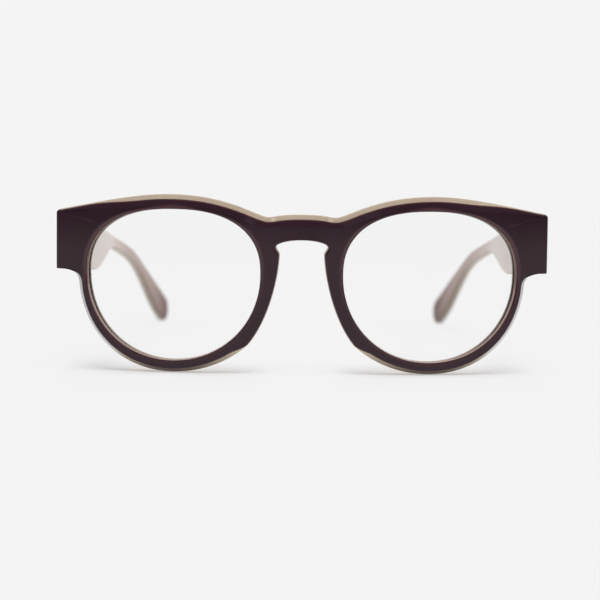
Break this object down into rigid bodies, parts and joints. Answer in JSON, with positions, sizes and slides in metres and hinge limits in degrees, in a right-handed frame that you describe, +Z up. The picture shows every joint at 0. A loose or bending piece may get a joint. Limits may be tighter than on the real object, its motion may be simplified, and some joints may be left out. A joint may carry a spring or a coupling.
{
  "type": "eyeglasses",
  "caption": "Panto eyeglasses in laminated acetate with a keyhole bridge, clear lenses and temples that fold on barrel hinges.",
  "frame": {"origin": "on the surface the glasses stand on, under the centre of their box", "axes": "+Z up, +X to the wearer's left, which is the right seen from the front, and +Y from the face of the front to the temple tips"},
  "size_m": [0.1386, 0.145, 0.0499],
  "materials": {
    "plum_acetate": "dark plum acetate with a soft polish",
    "champagne_acetate": "champagne acetate, polished",
    "mauve_acetate": "pale mauve acetate, polished",
    "clear_lens": "clear, polished",
    "hinge_steel": "satin",
    "screw_steel": "turned",
    "wire_steel": "drawn wire"
  },
  "bodies": {
    "front": {"front_face_layer": "plum_acetate", "front_back_layer": "champagne_acetate", "lens_left": "clear_lens", "lens_right": "clear_lens", "nose_pad_left": "champagne_acetate", "nose_pad_right": "champagne_acetate", "hinge_front_leaf_left": "hinge_steel", "hinge_front_leaf_right": "hinge_steel", "hinge_screw_left": "screw_steel", "hinge_screw_right": "screw_steel"},
    "temple_left": {"temple_outer_left": "champagne_acetate", "temple_inner_left": "mauve_acetate", "core_wire_left": "wire_steel", "hinge_temple_leaf_left": "hinge_steel"},
    "temple_right": {"temple_outer_right": "champagne_acetate", "temple_inner_right": "mauve_acetate", "core_wire_right": "wire_steel", "hinge_temple_leaf_right": "hinge_steel"}
  },
  "joints": [
    {"name": "hinge_left", "type": "hinge", "parent": "front", "child": "temple_left", "pos_m": [0.06254, -0.05912, 0.03692], "axis": [0, 0, 1], "range_deg": [0, 82]},
    {"name": "hinge_right", "type": "hinge", "parent": "front", "child": "temple_right", "pos_m": [-0.06254, -0.05912, 0.03692], "axis": [0, 0, -1], "range_deg": [0, 74]}
  ]
}
